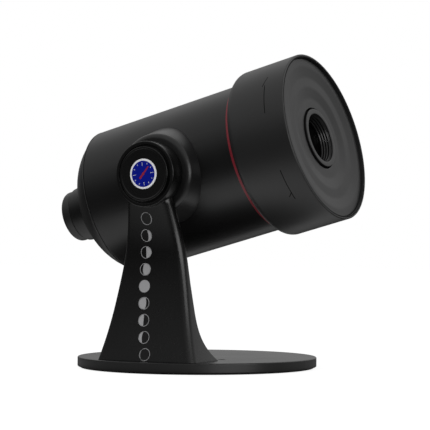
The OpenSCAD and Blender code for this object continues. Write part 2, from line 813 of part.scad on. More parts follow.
module drive_pinion() {
    color([0.85, 0.8, 0.6]) at_motor() difference() {
        translate([0, 0, gear_s]) rotate([0, 0, 180 / pinion_teeth]) rotate([0, 0, 180])
            spur(pinion_teeth, gear_w, gear_play / 2);
        rod(motor_shaft_r, gear_s - 1, gear_s + gear_w + 1);
    }
}

// ---------------------------------------------------------------- knob
module knob_shaft() {
    color([0.7, 0.7, 0.72]) along_barrel() rod(spindle_r, knob_end + 2.5, board_s - 7);
}

module control_knob() {
    color([0.08, 0.08, 0.085]) along_barrel() difference() {
        revolve(concat([[0, knob_s], [0, knob_end], [knob_r - 2.6, knob_end]],
            arc([knob_r - 2.6, knob_end + 2.6], 2.6, -90, 0, 6), [[knob_r, knob_s]]));
        rod(spindle_r, knob_end + 2.5, knob_s + 1);
        rod(knob_r - 4, knob_end - 1, knob_end + 0.6);
        tube(knob_r - 2.4, spindle_r + 2.5, knob_s - 3, knob_s + 1);
    }
}

module knob_inlay() {
    color([0.12, 0.12, 0.125]) along_barrel() rod(knob_r - 4.05, knob_end + 0.15, knob_end + 0.6);
}

base_plate();
base_weight();
base_pad();
arm_screws();
stand_arm();
arm_bush();
thrust_washer();
friction_washer();
hub_cap();
hub_badge();
barrel_shell();
pivot_boss();
boss_screws();
pivot_shaft();
spring_washer();
pivot_nut();
rear_cover();
knob_collar();
accent_ring();
drum_retainer();
retainer_screws();
chassis_posts();
control_board();
board_screws();
rotary_switch();
power_jack();
jack_pin();
heat_sink();
led_board();
led_emitter();
condenser_holder();
condenser_lens();
disc_frame();
gear_motor();
front_frame();
guide_rods();
focus_drum();
face_plate();
helicoid_nut();
lens_tube();
front_lens();
lens_retainer();
rear_lens();
rear_lens_ring();
disc_gear();
star_disc();
disc_clip();
motor_shaft();
drive_pinion();
knob_shaft();
control_knob();
knob_inlay();
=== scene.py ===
import math
import bpy
import numpy as np
from mathutils import Euler, Matrix


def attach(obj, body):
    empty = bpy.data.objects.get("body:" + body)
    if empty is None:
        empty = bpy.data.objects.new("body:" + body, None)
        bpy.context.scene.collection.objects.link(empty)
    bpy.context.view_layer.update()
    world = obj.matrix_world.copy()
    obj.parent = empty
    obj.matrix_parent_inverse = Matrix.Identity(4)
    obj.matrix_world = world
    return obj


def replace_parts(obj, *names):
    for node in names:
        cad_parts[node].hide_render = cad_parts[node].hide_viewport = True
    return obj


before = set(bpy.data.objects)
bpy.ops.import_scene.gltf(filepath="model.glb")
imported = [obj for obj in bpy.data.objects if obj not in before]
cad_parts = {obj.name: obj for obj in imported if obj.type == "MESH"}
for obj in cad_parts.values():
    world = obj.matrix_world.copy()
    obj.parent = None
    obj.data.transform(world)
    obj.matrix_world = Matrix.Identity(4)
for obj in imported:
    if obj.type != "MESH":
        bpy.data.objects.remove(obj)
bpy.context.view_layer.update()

TILT = math.radians(15.3)
PIVOT_Z = 119.2
AHEAD = np.array([math.cos(TILT), 0.0, math.sin(TILT)])
ABOVE = np.array([-math.sin(TILT), 0.0, math.cos(TILT)])
ASIDE = np.array([0.0, 1.0, 0.0])
PIVOT = np.array([0.0, 0.0, PIVOT_Z])

# a place to turn a profile about: (centre, axis, start of the turn, quarter turn)
BARREL = (PIVOT, AHEAD, ABOVE, ASIDE)
HUB = (PIVOT, -ASIDE, np.array([1.0, 0.0, 0.0]), np.array([0.0, 0.0, 1.0]))

# distances along the barrel count forwards from the pivot, and those along the hub count outwards
BARREL_R = 46.4
BARREL_FRONT = 70.0
BARREL_BACK = -56.0
BAND_BACK, BAND_FRONT = 48.7, 50.7

DRUM_R = 52.3
DRUM_BORE = DRUM_R - 2.0
DRUM_BACK = BAND_FRONT + 0.5
DRUM_FRONT = 91.2
DRUM_ROUND = 4.6    # rounding of the drum's back edge
RIM_ROUND = 0.65    # rounding of its front rim outside
MOUTH_ROUND = 0.25  # and inside
LEDGE_S = 86.8      # front of the ledge that the face sits on

LENS_R = 18.6
FACE_R = DRUM_BORE - 0.05
FACE_S = DRUM_FRONT - 1.7
FACE_DROP = 1.15            # depth of each cone in the face
CONE_STARTS = (45.2, 32.2)  # outer radii of the cones
CONE_RUN = 6.8              # width of each
FACE_BOSS_R = 22.5          # boss behind the face, round its opening
OPENING_R = LENS_R + 0.5
OPENING_ROUND = 0.5

LENS_FRONT = 88.3
RING_R = LENS_R - 0.3
THROAT_R = 14.7
RIDGES = 4
RIDGE_PITCH = 1.6
RIDGE_STEP = 0.3
FLANK = 0.5
GLASS_R = 11.3
GLASS_S = 69.0
REAR_GLASS_R = 13.2
REAR_GLASS_S = 51.6
TUBE_BACK = 44.5
THREAD_R, THREAD_FRONT = 20.6, 80.0
EAR_R, EAR_BACK, EAR_FRONT = 24.0, 48.5, 51.5
ROD_AT, ROD_HOLE_R, ROD_LUG_R = 25.5, 1.56, 3.5

HUB_BACK = 56.1
HUB_FRONT = 67.0
HUB_R = 19.8
HUB_BORE_R = 8.0
WELL_FLOOR = HUB_BACK + 4
CAP_R = HUB_R - 3.4
CAP_SEAT = HUB_FRONT - 0.9
CAP_FRONT = CAP_SEAT + 2.3
CAP_FACE = CAP_FRONT - 0.25  # floor of the cap's shallow dish
BADGE_R = 9.1
BADGE_FACE = CAP_FRONT + 0.2

KNOB_R = 16.3
KNOB_S = -88.0
KNOB_END = -94.75
KNOB_ROUND = 2.6
KNOB_FACE = KNOB_END + 0.15  # floor of the knob's shallow dish
TURNS = 288
PRINT_T = 0.04               # thickness of a thin print


# ------------------------------------------------------------------ surfaces
def arc(centre, radius, start, end, count=8):
    """Points centre + radius * (cos a, sin a) for count + 1 angles a from start to end, in degrees."""
    a = np.radians(np.linspace(start, end, count + 1))
    return np.stack([centre[0] + radius * np.cos(a), centre[1] + radius * np.sin(a)], 1)


def soften(corners, radius, count=4, closed=True):
    """Rounds each corner of a profile: a quadratic curve from a point before it to a point after it,
    both at the radius or at 0.4 of the shorter edge. Ends of an open profile stay as they are."""
    p = np.asarray(corners, float)
    before, after = np.roll(p, 1, 0), np.roll(p, -1, 0)
    to_before, to_after = before - p, after - p
    len_before = np.linalg.norm(to_before, axis=1)
    len_after = np.linalg.norm(to_after, axis=1)
    reach = np.minimum(radius, 0.4 * np.minimum(len_before, len_after))
    a = p + to_before / len_before[:, None] * reach[:, None]
    b = p + to_after / len_after[:, None] * reach[:, None]
    t = np.linspace(0, 1, count + 1)[None, :, None]
    curve = (1 - t) ** 2 * a[:, None] + 2 * t * (1 - t) * p[:, None] + t**2 * b[:, None]
    if closed:
        return curve.reshape(-1, 2)
    return np.vstack([p[:1], curve[1:-1].reshape(-1, 2), p[-1:]])


def make_piece(name, points, faces, sharp=32.0):
    """A mesh in metres from points in millimetres. Its faces point outwards: where the volume that
    they enclose comes out negative, every face is turned over."""
    points = np.asarray(points, float)
    blocks = [np.asarray(f, np.int64) for f in faces]
    volume = 0.0
    for f in blocks:
        p0 = points[f[:, 0]]
        for k in range(1, f.shape[1] - 1):
            volume += np.einsum("ij,ij->", p0, np.cross(points[f[:, k]], points[f[:, k + 1]]))
    if volume < 0:
        blocks = [f[:, ::-1] for f in blocks]
    loops = np.concatenate([f.ravel() for f in blocks]).astype(np.int32)
    sizes = np.concatenate([np.full(len(f), f.shape[1]) for f in blocks])
    starts = np.concatenate([[0], np.cumsum(sizes)[:-1]]).astype(np.int32)
    mesh = bpy.data.meshes.new(name)
    mesh.vertices.add(len(points))
    mesh.vertices.foreach_set("co", (points / 1000).astype(np.float32).ravel())
    mesh.loops.add(len(loops))
    mesh.loops.foreach_set("vertex_index", loops)
    mesh.polygons.add(len(sizes))
    mesh.polygons.foreach_set("loop_start", starts)
    mesh.update(calc_edges=True)
    mesh.validate()
    mesh.shade_smooth()
    mesh.set_sharp_from_angle(angle=math.radians(sharp))
    piece = bpy.data.objects.new(name, mesh)
    bpy.context.scene.collection.objects.link(piece)
    return piece


def grid_faces(rows, columns, wrap_rows=False, wrap_columns=True):
    """Quads that join neighbouring points of a rows by columns grid."""
    i = np.arange(rows if wrap_rows else rows - 1)[:, None]
    j = np.arange(columns if wrap_columns else columns - 1)[None, :]
    i2, j2 = (i + 1) % rows, (j + 1) % columns
    return np.stack(
        [i * columns + j, i * columns + j2, i2 * columns + j2, i2 * columns + j], -1
    ).reshape(-1, 4)


def turned(profile, place, turns=TURNS):
    """Points and faces of a profile of (radius, distance along the axis) turned about an axis:
    point = centre + distance * axis + radius * (cos a * start + sin a * quarter).
    A profile that begins and ends on the axis closes at two poles, and any other closes on itself."""
    centre, axis, start, quarter = place
    profile = np.asarray(profile, float)
    poles = profile[0, 0] == 0 and profile[-1, 0] == 0
    ring = profile[1:-1] if poles else profile
    a = np.linspace(0, 2 * math.pi, turns, endpoint=False)
    around = np.cos(a)[:, None] * start + np.sin(a)[:, None] * quarter
    points = centre + ring[:, 1, None, None] * axis + ring[:, 0, None, None] * around[None]
    points = points.reshape(-1, 3)
    faces = [grid_faces(len(ring), turns, wrap_rows=not poles)]
    if poles:
        first, last = len(points), len(points) + 1
        points = np.vstack([points, centre + profile[[0, -1], 1, None] * axis])
        j = np.arange(turns)
        j2 = (j + 1) % turns
        end = (len(ring) - 1) * turns
        faces.append(np.stack([np.full(turns, first), j2, j], 1))
        faces.append(np.stack([np.full(turns, last), end + j, end + j2], 1))
    return points, faces


def joined(*parts):
    """One list of points and faces from several closed shapes, each turned outwards by itself."""
    points, faces, offset = [], [], 0
    for p, fs in parts:
        volume = sum(
            np.einsum("ij,ij->", p[f[:, 0]], np.cross(p[f[:, k]], p[f[:, k + 1]]))
            for f in fs
            for k in range(1, f.shape[1] - 1)
        )
        faces += [(f[:, ::-1] if volume < 0 else f) + offset for f in fs]
        points.append(p)
        offset += len(p)
    return np.vstack(points), faces


def lathe(name, profile, place, turns=TURNS, sharp=32.0):
    """A piece that is one turned profile."""
    return make_piece(name, *turned(profile, place, turns), sharp=sharp)


def slab(outline, lift, thick):
    """A thin closed print with a front, a back and a rim. outline is (left, right, outward): the front
    is a strip between two edge curves, each n by 3, which lift, where given, moves onto a surface."""
    left, right, outward = outline
    across = np.linspace(0, 1, 5)[:, None, None]
    front = left[None] * (1 - across) + right[None] * across
    front = lift(front) if lift else front
    back = front - outward * thick
    rows, columns = front.shape[:2]
    loop = np.concatenate([
        np.arange(columns),
        np.arange(1, rows) * columns + columns - 1,
        (rows - 1) * columns + np.arange(columns - 2, -1, -1),
        np.arange(rows - 2, 0, -1) * columns,
    ])
    count = rows * columns
    quads = grid_faces(rows, columns, wrap_columns=False)
    nxt = np.roll(loop, -1)
    rim = np.stack([loop, loop + count, nxt + count, nxt], 1)
    points = np.vstack([front.reshape(-1, 3), back.reshape(-1, 3)])
    return points, [np.vstack([quads, quads[:, ::-1] + count, rim])]


# ------------------------------------------------------------------ the stand's arm
BASE_H = 6.8
NECK_Z = PIVOT_Z - HUB_R + 3
ARM_BACK, WAIST_FRONT, FOOT_FRONT = 50.0, 56.6, 66.0
FOOT_W, NECK_W, SPREAD_W = 33.5, 14.5, 2.0
SPREAD_Z, SWEEP_Z = 40.0, 68.0
NECK_RUN, NECK_STEP = 31.0, 6.8
FOOT_FLARE, EDGE_LEFT, EDGE_RIGHT, EDGE_BACK = 16.6, 2.8, 4.2, 1.6
EDGE_GROWTH, GROWTH_Z, GROWTH_RUN = 1.2, 55.0, 30.0  # the right edge's rounding grows on the way up


def below(z, top):
    """Share of the way down from top to the base."""
    return np.maximum(0, top - z) / (top - BASE_H)


def arm_half_width(z):
    """Half width: a straight taper from foot to neck, spread by a square law near the foot."""
    taper = (FOOT_W - SPREAD_W - NECK_W) / (NECK_Z - BASE_H)
    return NECK_W + taper * (NECK_Z - z) + SPREAD_W * below(z, SPREAD_Z) ** 2


def arm_front(z):
    """Distance of the front face: a sweep of power 1.45 to the foot and of power 1.5 to the neck."""
    rise = np.clip((z - NECK_Z + NECK_RUN) / NECK_RUN, 0, 1)
    return WAIST_FRONT + (FOOT_FRONT - WAIST_FRONT) * below(z, SWEEP_Z) ** 1.45 + NECK_STEP * rise**1.5


def arm_rear(z):
    """Distance of the back face: a flare of power 3.5 at the foot and a smooth step to the hub."""
    t = np.clip((z - NECK_Z + NECK_RUN) / (NECK_RUN - 4), 0, 1)
    return ARM_BACK - FOOT_FLARE * below(z, SPREAD_Z) ** 3.5 + (HUB_BACK - ARM_BACK) * t * t * (3 - 2 * t)


def arm_blade(levels=150, corner=9):
    """The blade: at each height a rectangle with four rounded corners, skinned from foot to hub."""
    z = BASE_H + (PIVOT_Z - 8 - BASE_H) * np.linspace(0, 1, levels) ** 1.2
    w, front, rear = arm_half_width(z), arm_front(z), arm_rear(z)
    right_edge = EDGE_RIGHT + EDGE_GROWTH * np.clip((z - GROWTH_Z) / GROWTH_RUN, 0, 1)
    back_edge = np.minimum(EDGE_BACK, (front - rear - right_edge) / 2 - 0.2)
    columns = []
    for sx, y0, sy, r, a0 in (
        (-1, -front, 1, np.full(levels, EDGE_LEFT), 180),
        (1, -front, 1, right_edge, 270),
        (1, -rear, -1, back_edge, 0),
        (-1, -rear, -1, back_edge, 90),
    ):
        a = np.radians(np.linspace(a0, a0 + 90, corner))
        x = (sx * (w - r))[:, None] + r[:, None] * np.cos(a)
        y = (y0 + sy * r)[:, None] + r[:, None] * np.sin(a)
        columns.append(np.stack([x, y, np.repeat(z[:, None], corner, 1)], -1))
    loop = np.concatenate(columns, 1)
    n = loop.shape[1]
    middle = loop[[0, -1]].mean(1)
    points = np.vstack([loop.reshape(-1, 3), middle])
    j = np.arange(n)
    j2 = (j + 1) % n
    top = (levels - 1) * n
    count = levels * n
    caps = np.vstack([
        np.stack([np.full(n, count), j2, j], 1),
        np.stack([np.full(n, count + 1), top + j, top + j2], 1),
    ])
    return points, [grid_faces(levels, n), caps]


well_r = CAP_R + 1.2
seat_r = CAP_R - 1.8
hub_profile = soften(
    [(HUB_BORE_R, HUB_BACK), (HUB_R, HUB_BACK), (HUB_R, HUB_FRONT), (well_r, HUB_FRONT), (well_r, CAP_SEAT),
     (seat_r, CAP_SEAT), (seat_r, WELL_FLOOR), (HUB_BORE_R, WELL_FLOOR)], 0.55)
arm = make_piece("arm_moulding", *joined(arm_blade(), turned(hub_profile, HUB)))
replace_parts(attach(arm, "stand"), "stand_arm")

cap = lathe("hub_cap_moulding", np.vstack([
    [(0, CAP_SEAT)],
    soften([(CAP_R, CAP_SEAT), (CAP_R, CAP_FRONT), (CAP_R - 1.1, CAP_FRONT), (CAP_R - 1.5, CAP_FACE),
            (0.5, CAP_FACE)], 0.35, closed=False),
    [(0, CAP_FACE)]]), HUB)
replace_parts(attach(cap, "stand"), "hub_cap")


# ------------------------------------------------------------------ the badge: a plain polar dial
def flat_disc(radius, front, thick):
    """A flat disc on the hub's axis."""
    return turned([(0, front - thick), (radius, front - thick), (radius, front), (0, front)], HUB, 128)


def dial_stroke(angle, start, end, width, front):
    """A straight stroke on the badge from radius start to end at an angle, half as wide at its end."""
    a = math.radians(angle)
    along = np.array([math.cos(a), 0, math.sin(a)])
    aside = np.array([-math.sin(a), 0, math.cos(a)])
    t = np.linspace(0, 1, 9)[:, None]
    middle = PIVOT + np.array([0, -front, 0]) + along * (start + (end - start) * t)
    half = width / 2 * (1 - 0.5 * t)
    return slab((middle - aside * half, middle + aside * half, -ASIDE), None, STROKE_T)


DIAL_MARKS, DIAL_TURN = 12, 7
SHORT_MARK, LONG_MARK, MARK_END, MARK_W = 6.1, 5.0, 7.1, 0.36
POINTER_ANGLE, POINTER_TAIL, POINTER_TIP, POINTER_W = 52, -3.7, 5.7, 1.4
PIN_R, STROKE_T = 0.9, 0.05
badge = lathe("badge_rim", [(0, CAP_FACE), (BADGE_R, CAP_FACE), (BADGE_R, BADGE_FACE - 0.12),
                            (BADGE_R - 0.12, BADGE_FACE - 0.04), (0, BADGE_FACE - 0.04)], HUB, 160)
ground = make_piece("badge_ground", *flat_disc(BADGE_R - 1.2, BADGE_FACE - 0.01, PRINT_T))
lines = make_piece("badge_lines", *joined(*[
    dial_stroke(360 / DIAL_MARKS * k + DIAL_TURN, SHORT_MARK if k % 3 else LONG_MARK, MARK_END, MARK_W,
                BADGE_FACE) for k in range(DIAL_MARKS)]))
pointer = make_piece("badge_pointer", *joined(
    dial_stroke(POINTER_ANGLE, POINTER_TAIL, POINTER_TIP, POINTER_W, BADGE_FACE + 0.01),
    flat_disc(PIN_R, BADGE_FACE + 0.015, STROKE_T)))
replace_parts(badge, "hub_badge")
for piece in (badge, ground, lines, pointer):
    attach(piece, "stand")


# ------------------------------------------------------------------ the arm's print: the moon's phases
PHASE_TOP, PHASE_PITCH, PHASE_R = 92.5, 10.2, 3.8
PHASE_LINE, PHASE_T = 0.35, 0.03
FULL_MOON = 4
# the lit part of each phase, from the top down, in half chords from its middle
PHASES = [(0.8, 1), (0.35, 1), (0.0, 1), (-0.45, 1), (-1, 1), (-1, 0.45), (-1, 0.0), (-1, -0.35), (-1, -0.8)]


def phase_x(z):
    """Sideways place of the printed column at height z: a shallow bow, so that it looks straight."""
    return -4.85 + 0.0021 * (z - 57) ** 2


def on_arm(points):
    """Moves points (x, any y, z) onto the arm's front face, a hair in front of it."""
    out = points.copy()
    out[..., 1] = -arm_front(out[..., 2]) - 0.04
    return out


def phase_disc(number, lit_from, lit_to):
    """One phase as a lune: at height t the print runs from lit_from to lit_to times the half chord.
    It stops just short of the poles, so that no face there has no area."""
    t = np.sin(np.linspace(-math.pi / 2, math.pi / 2, 25)) * 0.999
    chord = PHASE_R * np.sqrt(1 - t * t)
    middle = PHASE_TOP - number * PHASE_PITCH
    z = middle + PHASE_R * t
    edge = [np.stack([phase_x(middle) + chord * k, np.zeros(25), z], 1) for k in (lit_from, lit_to)]
    return slab((*edge, -ASIDE), on_arm, PHASE_T)


def phase_outline(number):
    """The thin circle round one phase."""
    a = np.linspace(0, 2 * math.pi, 49)
    z = PHASE_TOP - number * PHASE_PITCH
    rim = [np.stack([phase_x(z) + r * np.cos(a), np.zeros(49), z + r * np.sin(a)], 1)
           for r in (PHASE_R - PHASE_LINE, PHASE_R)]
    return slab((*rim, -ASIDE), on_arm, PHASE_T)


phases = make_piece("arm_phase_print", *joined(
    *[phase_disc(n, *span) for n, span in enumerate(PHASES)],
    *[phase_outline(n) for n in range(len(PHASES)) if n != FULL_MOON]))
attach(phases, "stand")


# ------------------------------------------------------------------ the front: drum, stepped face and lens
lip_r = BARREL_R + 0.5
guide_r = BARREL_R + 0.35
ledge_r = DRUM_BORE - 2.6
drum = lathe("drum_moulding", np.vstack([
    [(lip_r, DRUM_BACK)],
    arc((DRUM_R - DRUM_ROUND, DRUM_BACK + DRUM_ROUND), DRUM_ROUND, -90, 0, 14),
    arc((DRUM_R - RIM_ROUND, DRUM_FRONT - RIM_ROUND), RIM_ROUND, 0, 90, 8),
    arc((DRUM_BORE + MOUTH_ROUND, DRUM_FRONT - MOUTH_ROUND), MOUTH_ROUND, 90, 180, 5),
    [(DRUM_BORE, LEDGE_S), (ledge_r, LEDGE_S - 0.2), (ledge_r, LEDGE_S - 1.6), (DRUM_BORE, LEDGE_S - 4)],
    # the bearing that turns on the barrel
    [(DRUM_BORE, BARREL_FRONT - 0.3), (guide_r, BARREL_FRONT - 0.3), (guide_r, BARREL_FRONT - 3),
     (DRUM_BORE, BARREL_FRONT - 5)],
    [(DRUM_BORE, DRUM_BACK + DRUM_ROUND + 1), (BARREL_R + 2.4, DRUM_BACK + 2.4), (lip_r, DRUM_BACK + 2.4)]]),
    BARREL, 360, sharp=40)
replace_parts(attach(drum, "focus_ring"), "focus_drum")


def ramp(t):
    """A straight rise from 0 to 1 with its two ends rounded, as the mean of shifted straight rises."""
    return np.mean([np.clip(t + shift, 0, 1) for shift in np.linspace(-0.14, 0.14, 9)], 0)


# the face: two shallow cones step down from a flat rim to a flat ring round the lens
face_r = np.linspace(FACE_R - 0.4, OPENING_R + OPENING_ROUND + 0.1, 220)
face_s = FACE_S - FACE_DROP * sum(ramp((start - face_r) / CONE_RUN) for start in CONE_STARTS)
face = lathe("stepped_face", np.vstack([
    [(OPENING_R, LEDGE_S - 1), (FACE_BOSS_R, LEDGE_S - 1), (FACE_BOSS_R, LEDGE_S), (FACE_R, LEDGE_S)],
    [(FACE_R, FACE_S - 0.3)],
    np.stack([face_r, face_s], 1),
    arc((OPENING_R + OPENING_ROUND, face_s[-1] - OPENING_ROUND), OPENING_ROUND, 90, 180, 4)]),
    BARREL, 360, sharp=50)
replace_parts(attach(face, "focus_ring"), "face_plate")

# the lens tube: ridges run down its throat, each with a sloped flank that faces the front
throat = [(THROAT_R + FLANK, LENS_FRONT), (THROAT_R + FLANK - 0.1, LENS_FRONT - 1.1)]
for i in range(1, RIDGES + 1):
    r0, s0 = THROAT_R - i * RIDGE_STEP, LENS_FRONT - FLANK - i * RIDGE_PITCH
    throat += [(r0 + FLANK, s0 + 0.85), (r0 + FLANK, s0 + FLANK), (r0, s0), (r0, s0 - 0.4)]
tube_profile = soften(
    [(RING_R, LENS_FRONT - 1.7), (RING_R, LENS_FRONT)] + throat
    # inside: the front glass's cell, the taper between the lenses and the rear lens's cell
    + [(r0 + 1.2, s0 - 1.6), (r0 + 1.2, GLASS_S + 6), (GLASS_R + 0.2, GLASS_S + 5), (GLASS_R + 0.2, GLASS_S),
       (GLASS_R - 1, GLASS_S), (GLASS_R + 0.6, GLASS_S - 8), (REAR_GLASS_R - 1, REAR_GLASS_S + 3.4),
       (REAR_GLASS_R - 1, REAR_GLASS_S), (REAR_GLASS_R, REAR_GLASS_S), (REAR_GLASS_R, TUBE_BACK)]
    # outside: the ears that slide on the guide rods, the thread's cylinder and the plain front
    + [(LENS_R, TUBE_BACK), (LENS_R, EAR_BACK), (EAR_R, EAR_BACK), (EAR_R, EAR_FRONT), (THREAD_R, EAR_FRONT),
       (THREAD_R, THREAD_FRONT), (LENS_R, THREAD_FRONT + 1.5), (LENS_R, LENS_FRONT - 2)], 0.35, 4)
lug_profile = [(ROD_HOLE_R, EAR_BACK), (ROD_LUG_R, EAR_BACK), (ROD_LUG_R, EAR_FRONT), (ROD_HOLE_R, EAR_FRONT)]
lugs = [turned(lug_profile, (PIVOT + side * ROD_AT * ASIDE, AHEAD, ABOVE, ASIDE), 48) for side in (-1, 1)]
tube = make_piece("lens_barrel", *joined(turned(tube_profile, BARREL, 256), *lugs), sharp=40)
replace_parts(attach(tube, "lens_group"), "lens_tube")


def dome_glass(name, radius, back, thick, bulge):
    """A lens, flat behind and a sphere's cap in front, which falls by bulge from the axis to the rim.
    thick is its thickness on the axis."""
    big = (radius**2 + bulge**2) / (2 * bulge)
    ring = np.linspace(radius - 0.1, 0, 40)
    cap_s = back + thick - big + np.sqrt(big**2 - ring**2)
    rim = [(0, back), (radius - 0.15, back), (radius, back + 0.15), (radius, cap_s[0] - 0.1)]
    return lathe(name, np.vstack([rim, np.stack([ring, cap_s], 1)]), BARREL, 160, sharp=35)


glass = dome_glass("front_glass", GLASS_R, GLASS_S, 4.4, 2.2)
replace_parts(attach(glass, "lens_group"), "front_lens")


def drum_line(name, marks, width):
    """Fine engraved strokes round the drum: each runs from (distance, angle) to (distance, angle) on
    the drum's side, a hair proud of it."""
    shapes = []
    for (s0, a0), (s1, a1) in marks:
        t = np.linspace(0, 1, 33)[:, None]
        s, a = s0 + (s1 - s0) * t, np.radians(a0 + (a1 - a0) * t)
        out = np.cos(a) * ABOVE + np.sin(a) * ASIDE
        run = np.gradient(PIVOT + s * AHEAD + DRUM_R * out, axis=0)
        aside = np.cross(run, out)
        aside /= np.linalg.norm(aside, axis=1)[:, None]
        middle = PIVOT + s * AHEAD + (DRUM_R + 0.02) * out
        shapes.append(slab((middle - aside * width / 2, middle + aside * width / 2, out), None, PRINT_T))
    return make_piece(name, *joined(*shapes))


arrows = drum_line("focus_arrows", [
    ((78.8, -73), (78.5, -50.5)), ((76.8, -51.2), (79.5, -42.4)),
    ((79.0, -112), (78.9, -135)), ((79.3, -129), (76.2, -132.2))], 0.5)
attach(arrows, "focus_ring")

# a dark ring inside the front rim, 0.01 mm proud of it: painted shade for the shadowed gap where the face
# meets the rim
SHADE_RING_W, SHADE_RING_DEPTH = 0.85, 0.4
rim_shade_ring = lathe("rim_painted_shade", [
    (DRUM_BORE - 0.02, DRUM_FRONT - SHADE_RING_DEPTH), (DRUM_BORE + SHADE_RING_W, DRUM_FRONT - SHADE_RING_DEPTH),
    (DRUM_BORE + SHADE_RING_W, DRUM_FRONT + 0.01), (DRUM_BORE + 0.1, DRUM_FRONT + 0.01)], BARREL, 360)
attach(rim_shade_ring, "focus_ring")

BAND_R, BAND_SEAT_R = BARREL_R + 0.5, BARREL_R - 0.8
band = lathe("accent_band", soften([
    (BAND_SEAT_R, BAND_BACK), (BAND_R, BAND_BACK), (BAND_R, BAND_FRONT), (BAND_SEAT_R, BAND_FRONT)], 0.25),
    BARREL, 360)
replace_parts(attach(band, "projector"), "accent_ring")

# a thin bead where the rear cover meets the barrel, 0.03 mm proud of it; the seam is real, and its lighter
# black is a painted highlight along the cover's edge
bead_r = BARREL_R + 0.03
bead_seat_r = BARREL_R - 1.1
bead = lathe("cover_bead", soften([
    (bead_seat_r, BARREL_BACK - 0.4), (bead_r - 0.38, BARREL_BACK - 0.4), (bead_r, BARREL_BACK),
    (bead_r, BARREL_BACK + 0.3), (bead_seat_r, BARREL_BACK + 0.3)], 0.1), BARREL, 360)
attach(bead, "projector")

knob = lathe("knob_moulding", np.vstack([
    [(0, KNOB_S)], [(KNOB_R - 0.3, KNOB_S), (KNOB_R, KNOB_S - 0.3)],
    arc((KNOB_R - KNOB_ROUND, KNOB_END + KNOB_ROUND), KNOB_ROUND, 0, -90, 12),
    soften([(KNOB_R - 2.8, KNOB_END), (KNOB_R - 4, KNOB_END), (KNOB_R - 4, KNOB_FACE),
            (0.5, KNOB_FACE)], 0.12, closed=False),
    [(0, KNOB_FACE)]]), BARREL)
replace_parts(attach(knob, "knob"), "control_knob", "knob_inlay")


# ------------------------------------------------------------------ materials
def new_group(name, inputs, outputs):
    """An empty shader node group with named float inputs (name, default) and outputs (name, type)."""
    group = bpy.data.node_groups.new(name, "ShaderNodeTree")
    for label, default in inputs:
        socket = group.interface.new_socket(label, in_out="INPUT", socket_type="NodeSocketFloat")
        socket.default_value = default
    for label, kind in outputs:
        group.interface.new_socket(label, in_out="OUTPUT", socket_type=f"NodeSocket{kind}")
    return group, group.nodes.new("NodeGroupInput"), group.nodes.new("NodeGroupOutput")


def node(tree, kind, links=None, **settings):
    """A node with its settings, and its inputs set to a value or linked to a socket."""
    made = tree.nodes.new(kind)
    for key, value in settings.items():
        setattr(made, key, value)
    for key, value in (links or {}).items():
        if isinstance(value, bpy.types.NodeSocket):
            tree.links.new(value, made.inputs[key])
        else:
            made.inputs[key].default_value = value
    return made


def math_node(tree, operation, a, b=0.0, c=0.0, clamp=False):
    """The output of one Math node."""
    return node(tree, "ShaderNodeMath", {0: a, 1: b, 2: c}, operation=operation, use_clamp=clamp).outputs[0]


def object_place(tree):
    """Object coordinates, which every pattern here follows."""
    return node(tree, "ShaderNodeTexCoord").outputs["Object"]


def moulded_grain():
    """Fine grain of moulded plastic. Height is fine noise over broad, soft unevenness; Tone and Gloss
    run from -1 to 1 and shift a material's colour and roughness."""
    group, given, result = new_group(
        "moulded grain", [("Grain size", 0.0004), ("Wave size", 0.02)],
        [("Height", "Float"), ("Tone", "Float"), ("Gloss", "Float")])
    place = object_place(group)
    grain_scale = math_node(group, "DIVIDE", 1.0, given.outputs["Grain size"])
    wave_scale = math_node(group, "DIVIDE", 1.0, given.outputs["Wave size"])
    fine = node(group, "ShaderNodeTexNoise", {"Vector": place, "Scale": grain_scale, "Detail": 2.0})
    broad = node(group, "ShaderNodeTexNoise", {"Vector": place, "Scale": wave_scale, "Detail": 3.0})
    patch = node(group, "ShaderNodeTexNoise", {
        "Vector": place, "Scale": 34.0, "Detail": 4.0, "Roughness": 0.6})
    fine_part = math_node(group, "MULTIPLY", fine.outputs["Fac"], 0.4)
    height = math_node(group, "MULTIPLY_ADD", broad.outputs["Fac"], 0.6, fine_part)
    group.links.new(height, result.inputs["Height"])
    for label, source in (("Tone", broad), ("Gloss", patch)):
        swing = math_node(group, "MULTIPLY_ADD", source.outputs["Fac"], 2.0, -1.0)
        group.links.new(swing, result.inputs[label])
    return group


def edge_rub():
    """Where a hand rubs a piece: Mask rises along edges, found by how far a rounded normal leans away
    from the true one, and breaks up with noise. Normal is that rounded normal."""
    group, given, result = new_group(
        "edge rub", [("Width", 0.0004), ("Amount", 1.0)], [("Mask", "Float"), ("Normal", "Vector")])
    bevel = node(group, "ShaderNodeBevel", {"Radius": given.outputs["Width"]}, samples=6)
    true_normal = node(group, "ShaderNodeNewGeometry").outputs["Normal"]
    lean = node(group, "ShaderNodeVectorMath", {0: bevel.outputs[0], 1: true_normal}, operation="DOT_PRODUCT")
    edge = node(group, "ShaderNodeMapRange", {
        "Value": lean.outputs["Value"], "From Min": 0.995, "From Max": 0.86, "To Min": 0.0, "To Max": 1.0})
    noise = node(group, "ShaderNodeTexNoise", {"Vector": object_place(group), "Scale": 420.0, "Detail": 5.0})
    broken = node(group, "ShaderNodeMapRange", {
        "Value": noise.outputs["Fac"], "From Min": 0.35, "From Max": 0.65, "To Min": 0.25, "To Max": 1.0})
    rubbed = math_node(group, "MULTIPLY", edge.outputs[0], broken.outputs[0])
    mask = math_node(group, "MULTIPLY", rubbed, given.outputs["Amount"], clamp=True)
    group.links.new(mask, result.inputs["Mask"])
    group.links.new(bevel.outputs[0], result.inputs["Normal"])
    return group


